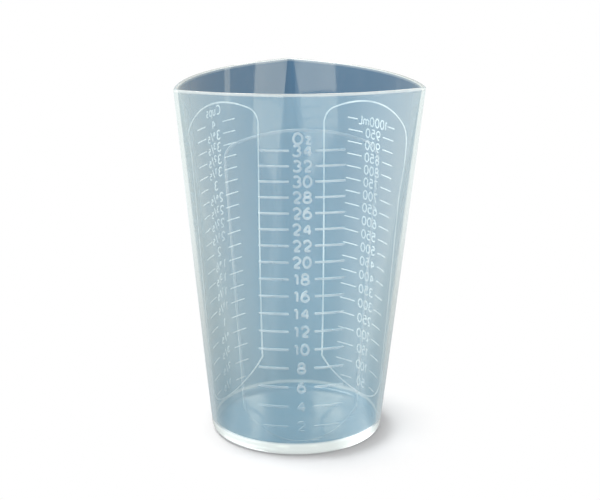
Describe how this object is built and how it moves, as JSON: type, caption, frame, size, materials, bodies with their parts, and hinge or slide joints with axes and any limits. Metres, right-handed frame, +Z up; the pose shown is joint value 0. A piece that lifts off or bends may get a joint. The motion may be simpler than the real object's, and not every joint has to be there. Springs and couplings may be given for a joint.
{
  "type": "graduated mixing cup",
  "caption": "Translucent mixing cup with a round foot, a rounded-triangle mouth whose corners pour, and a raised bordered volume scale on each side.",
  "frame": {"origin": "centre of the foot's underside, on the cup's axis", "axes": "+Z up the axis to the mouth; -Y out of the ounce side; the pouring corners point to +Y and to 210 and 330 degrees"},
  "size_m": [0.116, 0.1153, 0.1773],
  "materials": {
    "wall": "clear blue-tinted polypropylene, slightly hazy, smooth from the mould",
    "marks": "the same polypropylene, frosted where the mould's engraving was left matt"
  },
  "bodies": {
    "root": {"cup_body": "wall", "ounce_panel_border": "marks", "ounce_graduations": "marks", "millilitre_panel_border": "marks", "millilitre_graduations": "marks", "cups_panel_border": "marks", "cups_graduations": "marks"}
  },
  "joints": []
}
